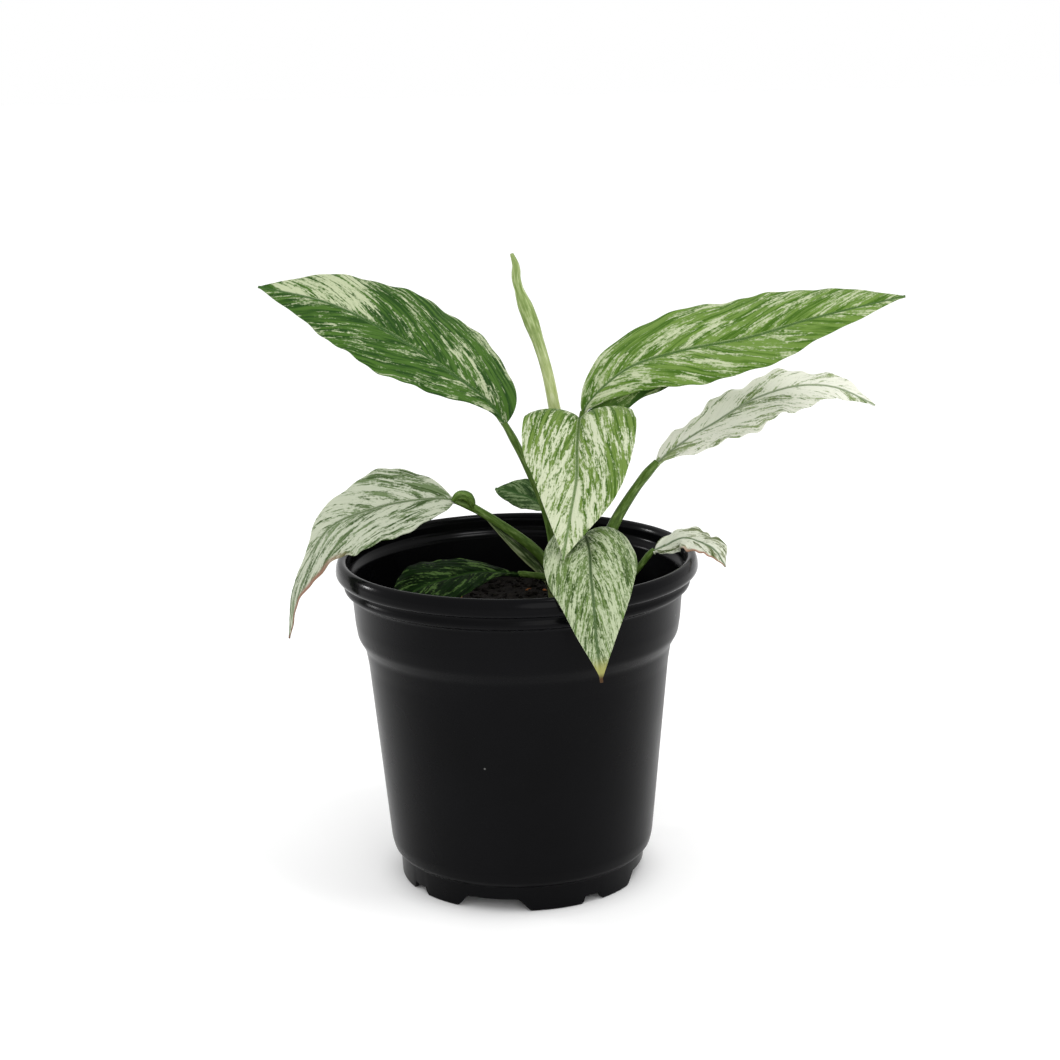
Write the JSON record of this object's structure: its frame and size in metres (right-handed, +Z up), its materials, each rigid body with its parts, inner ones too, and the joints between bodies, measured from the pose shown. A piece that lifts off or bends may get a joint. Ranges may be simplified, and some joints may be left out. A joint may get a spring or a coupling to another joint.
{
  "type": "potted peace lily",
  "caption": "Young variegated peace lily in a round tapered nursery pot with a rolled lip, broad pointed leaves arching out and over the rim.",
  "frame": {"origin": "middle of the underside of the whole plant's bounding box, on the surface the pot stands on", "axes": "+Z up; -Y towards the side the plant is seen from, where two leaves hang forward; +X to that viewer's right"},
  "size_m": [0.2104, 0.1274, 0.2086],
  "materials": {
    "pot_plastic": "satin",
    "potting_soil": "matte",
    "crown": "matte",
    "new_leaf": "satin",
    "leaf_green": "satin",
    "leaf_pale": "satin",
    "leaf_dark": "satin",
    "stalk": "satin"
  },
  "bodies": {
    "root": {"nursery_pot": "pot_plastic", "potting_soil": "potting_soil", "crown_with_roots": "crown", "rolled_new_leaf": "new_leaf", "blade_upper_left": "leaf_green", "blade_upper_right": "leaf_green", "blade_mid_right": "leaf_pale", "blade_mid_left": "leaf_pale", "blade_front_upper": "leaf_green", "blade_front_lower": "leaf_green", "blade_right_small": "leaf_pale", "blade_low_left": "leaf_dark", "blade_back_small": "leaf_dark", "stalk_upper_left": "stalk", "stalk_upper_right": "stalk", "stalk_mid_right": "stalk", "stalk_mid_left": "stalk", "stalk_front_upper": "stalk", "stalk_front_lower": "stalk", "stalk_right_small": "stalk", "stalk_low_left": "stalk", "stalk_back_small": "stalk"}
  },
  "joints": []
}
